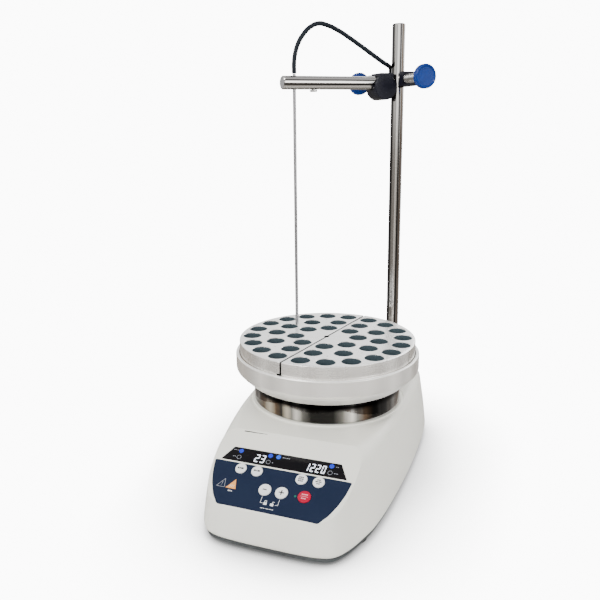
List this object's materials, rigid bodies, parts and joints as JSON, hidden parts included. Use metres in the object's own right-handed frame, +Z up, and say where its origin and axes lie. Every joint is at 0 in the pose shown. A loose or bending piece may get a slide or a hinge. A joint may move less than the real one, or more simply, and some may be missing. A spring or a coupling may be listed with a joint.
{
  "type": "hotplate stirrer",
  "caption": "Laboratory hotplate stirrer with sloped control panel, round vial block in a carrier, support rod, clamp head, arm and temperature probe.",
  "frame": {"origin": "on the bench under the centre of the round heated plate", "axes": "+X to the right seen from the control panel, +Y to the rear, +Z up"},
  "size_m": [0.1672, 0.3167, 0.4047],
  "materials": {
    "case": "satin moulded warm white",
    "base": "matt dark grey",
    "rubber": "matt black",
    "navy": "satin printed film",
    "black_plastic": "gloss black",
    "button": "satin white",
    "start_button": "satin red",
    "circuit": "solder mask green",
    "polished_steel": "polished stainless",
    "steel": "plain steel",
    "aluminium": "satin turned",
    "plate": "dark heat-resistant coating",
    "wool": "mineral wool board",
    "magnet": "sintered",
    "head": "black powder coat",
    "knob": "gloss blue",
    "cable": "matt black sheath"
  },
  "bodies": {
    "base": {"upper_case": "case", "base_pan": "base", "foot_1": "rubber", "foot_2": "rubber", "foot_3": "rubber", "foot_4": "rubber", "case_screw_1": "steel", "case_screw_2": "steel", "case_screw_3": "steel", "case_screw_4": "steel", "panel_overlay": "navy", "display_window": "black_plastic", "display_module": "black_plastic", "control_board": "circuit", "heater_skirt": "polished_steel", "insulation_disc": "wool", "heating_element": "steel", "plate_standoff_1": "steel", "plate_standoff_2": "steel", "plate_standoff_3": "steel", "hot_plate": "plate", "carrier_plate": "aluminium", "block_left": "aluminium", "motor_bracket": "steel", "motor_body": "steel", "power_board": "circuit", "transformer": "steel", "power_inlet": "black_plastic", "power_switch_frame": "black_plastic", "sensor_socket": "steel", "cable_plug": "black_plastic", "rod_socket": "steel", "cable_drop": "cable"},
    "rotor": {"motor_shaft": "steel", "magnet_bar": "steel", "magnet_a": "magnet", "magnet_b": "magnet"},
    "rocker": {"power_rocker": "start_button"},
    "vial_block": {"block_right": "aluminium"},
    "rod": {"support_rod": "polished_steel"},
    "head": {"boss_head": "head"},
    "rod_clamp": {"rod_clamp_screw": "steel", "rod_clamp_knob": "knob"},
    "arm_clamp": {"arm_clamp_screw": "steel", "arm_clamp_knob": "knob"},
    "arm": {"arm_rod": "polished_steel", "cable_loop": "cable"},
    "set_screw": {"probe_set_screw": "steel"},
    "probe": {"probe": "steel"},
    "button_temp": {"button_temp": "button"},
    "button_unit": {"button_unit": "button"},
    "button_speed": {"button_speed": "button"},
    "button_set": {"button_set": "button"},
    "button_minus": {"button_minus": "button"},
    "button_plus": {"button_plus": "button"},
    "button_start_stop": {"button_start_stop": "start_button"}
  },
  "joints": [
    {"name": "stir_spin", "type": "hinge", "parent": "base", "child": "rotor", "pos_m": [0, 0, 0.05], "axis": [0, 0, 1], "continuous": true},
    {"name": "power_rock", "type": "hinge", "parent": "base", "child": "rocker", "pos_m": [-0.009, 0.119, 0.037], "axis": [1, 0, 0], "range_deg": [-16, 0]},
    {"name": "block_lift", "type": "slide", "parent": "base", "child": "vial_block", "axis": [0, 0, 1], "range_m": [0, 0.035]},
    {"name": "rod_turn", "type": "hinge", "parent": "base", "child": "rod", "pos_m": [0.0405, 0.1, 0.2], "axis": [0, 0, 1], "range_deg": [-75, 15]},
    {"name": "head_height", "type": "slide", "parent": "rod", "child": "head", "axis": [0, 0, 1], "range_m": [0, 0.044], "deforming": ["cable_drop"]},
    {"name": "rod_clamp_turn", "type": "hinge", "parent": "head", "child": "rod_clamp", "pos_m": [0.06108, 0.07817, 0.3542], "axis": [0.6859, -0.7277, 0], "range_deg": [0, 360]},
    {"name": "arm_clamp_turn", "type": "hinge", "parent": "head", "child": "arm_clamp", "pos_m": [0.00537, 0.10811, 0.3528], "axis": [-0.6859, 0.7277, 0], "range_deg": [0, 360]},
    {"name": "arm_slide", "type": "slide", "parent": "head", "child": "arm", "axis": [-0.7277, -0.6859, 0], "range_m": [-0.006, 0.008]},
    {"name": "set_screw_turn", "type": "hinge", "parent": "arm", "child": "set_screw", "pos_m": [-0.02417, 0.03903, 0.345], "axis": [0, 0, 1], "range_deg": [0, 360]},
    {"name": "probe_lift", "type": "slide", "parent": "arm", "child": "probe", "axis": [0, 0, 1], "range_m": [0, 0.04], "deforming": ["cable_loop"]},
    {"name": "button_temp_press", "type": "slide", "parent": "base", "child": "button_temp", "axis": [0, 0.4431, -0.8965], "range_m": [0, 0.0005], "stiffness_N_per_m": 900, "springref_m": -0.0002},
    {"name": "button_unit_press", "type": "slide", "parent": "base", "child": "button_unit", "axis": [0, 0.4431, -0.8965], "range_m": [0, 0.0005], "stiffness_N_per_m": 900, "springref_m": -0.0002},
    {"name": "button_speed_press", "type": "slide", "parent": "base", "child": "button_speed", "axis": [0, 0.4431, -0.8965], "range_m": [0, 0.0005], "stiffness_N_per_m": 900, "springref_m": -0.0002},
    {"name": "button_set_press", "type": "slide", "parent": "base", "child": "button_set", "axis": [0, 0.4431, -0.8965], "range_m": [0, 0.0005], "stiffness_N_per_m": 900, "springref_m": -0.0002},
    {"name": "button_minus_press", "type": "slide", "parent": "base", "child": "button_minus", "axis": [0, 0.4431, -0.8965], "range_m": [0, 0.0005], "stiffness_N_per_m": 900, "springref_m": -0.0002},
    {"name": "button_plus_press", "type": "slide", "parent": "base", "child": "button_plus", "axis": [0, 0.4431, -0.8965], "range_m": [0, 0.0005], "stiffness_N_per_m": 900, "springref_m": -0.0002},
    {"name": "button_start_stop_press", "type": "slide", "parent": "base", "child": "button_start_stop", "axis": [0, 0.4431, -0.8965], "range_m": [0, 0.0005], "stiffness_N_per_m": 900, "springref_m": -0.0002}
  ]
}
